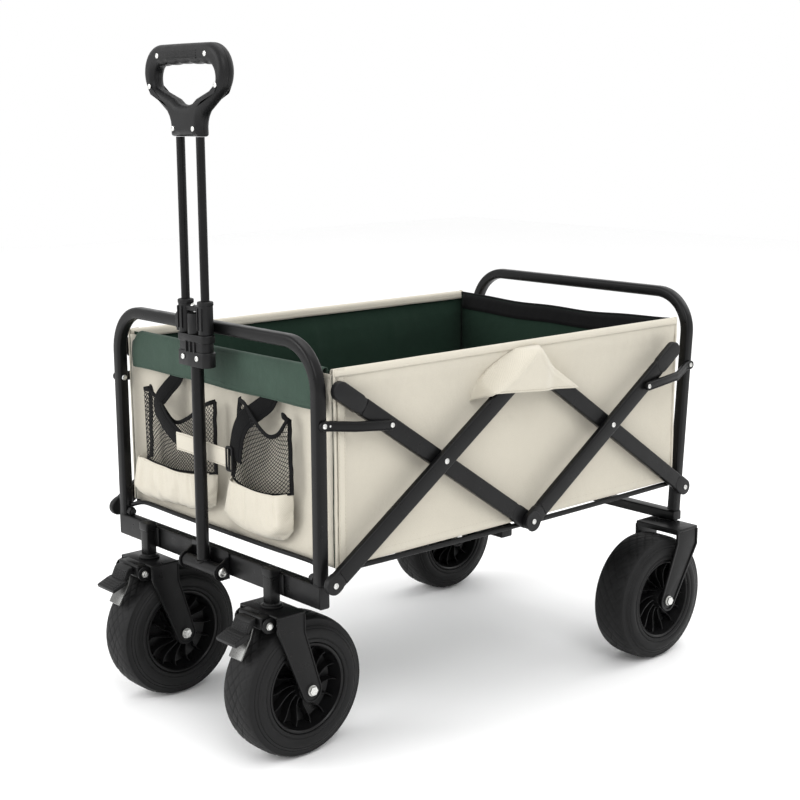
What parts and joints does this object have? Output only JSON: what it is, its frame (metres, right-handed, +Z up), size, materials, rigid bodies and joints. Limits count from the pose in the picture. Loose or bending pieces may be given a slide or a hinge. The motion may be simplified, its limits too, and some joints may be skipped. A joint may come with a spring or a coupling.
{
  "type": "folding beach cart",
  "caption": "Folding beach cart with a fabric tub on a scissor frame, swivel front casters with brakes, fixed rear wheels and a tilting telescopic handle.",
  "frame": {"origin": "on the floor under the middle of the overall box", "axes": "+Z up, -Y towards the handle end, +X to the right seen from the handle end looking back along the cart"},
  "size_m": [0.5796, 0.8646, 0.959],
  "materials": {
    "black_steel": "satin black powder coat",
    "black_plastic": "moulded black plastic with a fine grain",
    "hub_plastic": "moulded black plastic, slightly glossy",
    "tyre": "black rubber with a criss-cross tread",
    "zinc": "bright zinc plating",
    "cream_fabric": "cream woven oxford cloth",
    "green_fabric": "dark green woven oxford cloth",
    "black_mesh": "open black diamond mesh"
  },
  "bodies": {
    "front_frame": {"front_frame_hoop": "black_steel", "front_crossbar": "black_steel", "caster_stem_left": "black_steel", "caster_stem_right": "black_steel", "handle_bracket": "black_steel", "handle_pivot_bolt": "zinc", "front_floor_wire": "black_steel", "side_wall_left": "cream_fabric", "side_wall_right": "cream_fabric", "front_wall": "cream_fabric", "floor_mat": "green_fabric", "front_flap": "green_fabric", "mesh_pocket_left": "black_mesh", "mesh_pocket_right": "black_mesh"},
    "front_rising_bars": {"front_rising_bar_left": "black_steel", "front_rising_bar_right": "black_steel"},
    "front_falling_bars": {"front_falling_bar_left": "black_steel", "front_falling_bar_right": "black_steel"},
    "rear_rising_bars": {"rear_rising_bar_left": "black_steel", "rear_rising_bar_right": "black_steel", "centre_crossbar": "black_steel"},
    "rear_falling_bars": {"rear_falling_bar_left": "black_steel", "rear_falling_bar_right": "black_steel"},
    "rear_frame": {"rear_frame_hoop": "black_steel", "rear_crossbar": "black_steel", "fork_rear_left": "black_steel", "fork_rear_right": "black_steel", "rear_wall": "cream_fabric", "axle_bolt_rear_left": "zinc", "axle_bolt_rear_right": "zinc"},
    "front_links": {"front_link_left": "black_steel", "front_link_right": "black_steel"},
    "rear_links": {"rear_link_left": "black_steel", "rear_link_right": "black_steel"},
    "handle_mast": {"handle_foot_tube": "black_steel", "handle_mast": "black_steel", "mast_collar": "black_plastic", "rod_guide": "black_plastic"},
    "handle_grip": {"handle_rod_left": "black_steel", "handle_rod_right": "black_steel", "grip_front_shell": "black_plastic", "grip_rear_shell": "black_plastic"},
    "rod_lock_button": {"rod_lock_button": "black_plastic"},
    "caster_left": {"fork_front_left": "black_steel", "axle_bolt_front_left": "zinc"},
    "front_wheel_left": {"tyre_front_left": "tyre", "hub_front_left": "hub_plastic"},
    "rear_wheel_left": {"tyre_rear_left": "tyre", "hub_rear_left": "hub_plastic"},
    "brake_left": {"brake_pedal_left": "black_plastic", "brake_plate_left": "zinc"},
    "caster_right": {"fork_front_right": "black_steel", "axle_bolt_front_right": "zinc"},
    "front_wheel_right": {"tyre_front_right": "tyre", "hub_front_right": "hub_plastic"},
    "rear_wheel_right": {"tyre_rear_right": "tyre", "hub_rear_right": "hub_plastic"},
    "brake_right": {"brake_pedal_right": "black_plastic", "brake_plate_right": "zinc"}
  },
  "joints": [
    {"name": "frame_fold", "type": "hinge", "parent": "front_frame", "child": "front_rising_bars", "pos_m": [0, -0.3385, 0.2696], "axis": [1, 0, 0], "range_deg": [0, 36.5], "deforming": ["side_wall_left", "side_wall_right", "floor_mat"]},
    {"name": "front_crossing", "type": "hinge", "parent": "front_rising_bars", "child": "front_falling_bars", "pos_m": [0, -0.142, 0.40314], "axis": [1, 0, 0], "range_deg": [-73.1, 0.1]},
    {"name": "low_centre_pivot", "type": "hinge", "parent": "front_falling_bars", "child": "rear_rising_bars", "pos_m": [0, 0.0315, 0.28523], "axis": [1, 0, 0], "range_deg": [-0.1, 73.1]},
    {"name": "rear_crossing", "type": "hinge", "parent": "rear_rising_bars", "child": "rear_falling_bars", "pos_m": [0, 0.205, 0.40314], "axis": [1, 0, 0], "range_deg": [-73.1, 0.1]},
    {"name": "rear_frame_pivot", "type": "hinge", "parent": "rear_falling_bars", "child": "rear_frame", "pos_m": [0, 0.4015, 0.2696], "axis": [1, 0, 0], "range_deg": [-0.1, 36.6]},
    {"name": "front_link_pivot", "type": "hinge", "parent": "front_frame", "child": "front_links", "pos_m": [0, -0.3385, 0.477], "axis": [1, 0, 0], "range_deg": [-0.1, 80]},
    {"name": "rear_link_pivot", "type": "hinge", "parent": "rear_frame", "child": "rear_links", "pos_m": [0, 0.41459, 0.468], "axis": [1, 0, 0], "range_deg": [-70, 0.1]},
    {"name": "handle_tilt", "type": "hinge", "parent": "front_frame", "child": "handle_mast", "pos_m": [0, -0.3605, 0.24], "axis": [1, 0, 0], "range_deg": [0, 100]},
    {"name": "handle_height", "type": "slide", "parent": "handle_mast", "child": "handle_grip", "axis": [0, 0, -1], "range_m": [0, 0.21]},
    {"name": "rod_lock_press", "type": "slide", "parent": "handle_mast", "child": "rod_lock_button", "axis": [1, 0, 0], "range_m": [0, 0.003], "stiffness_N_per_m": 150},
    {"name": "caster_swivel_left", "type": "hinge", "parent": "front_frame", "child": "caster_left", "pos_m": [-0.152, -0.3548, 0.216], "axis": [0, 0, 1], "continuous": true},
    {"name": "front_wheel_spin_left", "type": "hinge", "parent": "caster_left", "child": "front_wheel_left", "pos_m": [-0.152, -0.3215, 0.1], "axis": [1, 0, 0], "continuous": true},
    {"name": "brake_press_left", "type": "hinge", "parent": "caster_left", "child": "brake_left", "pos_m": [-0.152, -0.3905, 0.203], "axis": [1, 0, 0], "range_deg": [0, 8]},
    {"name": "rear_wheel_spin_left", "type": "hinge", "parent": "rear_frame", "child": "rear_wheel_left", "pos_m": [-0.242, 0.3323, 0.1], "axis": [1, 0, 0], "continuous": true},
    {"name": "caster_swivel_right", "type": "hinge", "parent": "front_frame", "child": "caster_right", "pos_m": [0.152, -0.3548, 0.216], "axis": [0, 0, 1], "continuous": true},
    {"name": "front_wheel_spin_right", "type": "hinge", "parent": "caster_right", "child": "front_wheel_right", "pos_m": [0.152, -0.3215, 0.1], "axis": [1, 0, 0], "continuous": true},
    {"name": "brake_press_right", "type": "hinge", "parent": "caster_right", "child": "brake_right", "pos_m": [0.152, -0.3905, 0.203], "axis": [1, 0, 0], "range_deg": [0, 8]},
    {"name": "rear_wheel_spin_right", "type": "hinge", "parent": "rear_frame", "child": "rear_wheel_right", "pos_m": [0.242, 0.3323, 0.1], "axis": [1, 0, 0], "continuous": true}
  ],
  "couplings": [
    {"joint": "front_crossing", "follows": "frame_fold", "ratio": -2},
    {"joint": "low_centre_pivot", "follows": "frame_fold", "ratio": 2},
    {"joint": "rear_crossing", "follows": "frame_fold", "ratio": -2},
    {"joint": "rear_frame_pivot", "follows": "frame_fold", "ratio": 1},
    {"joint": "front_link_pivot", "follows": "frame_fold", "ratio": 2.05},
    {"joint": "rear_link_pivot", "follows": "frame_fold", "ratio": -1.79}
  ]
}
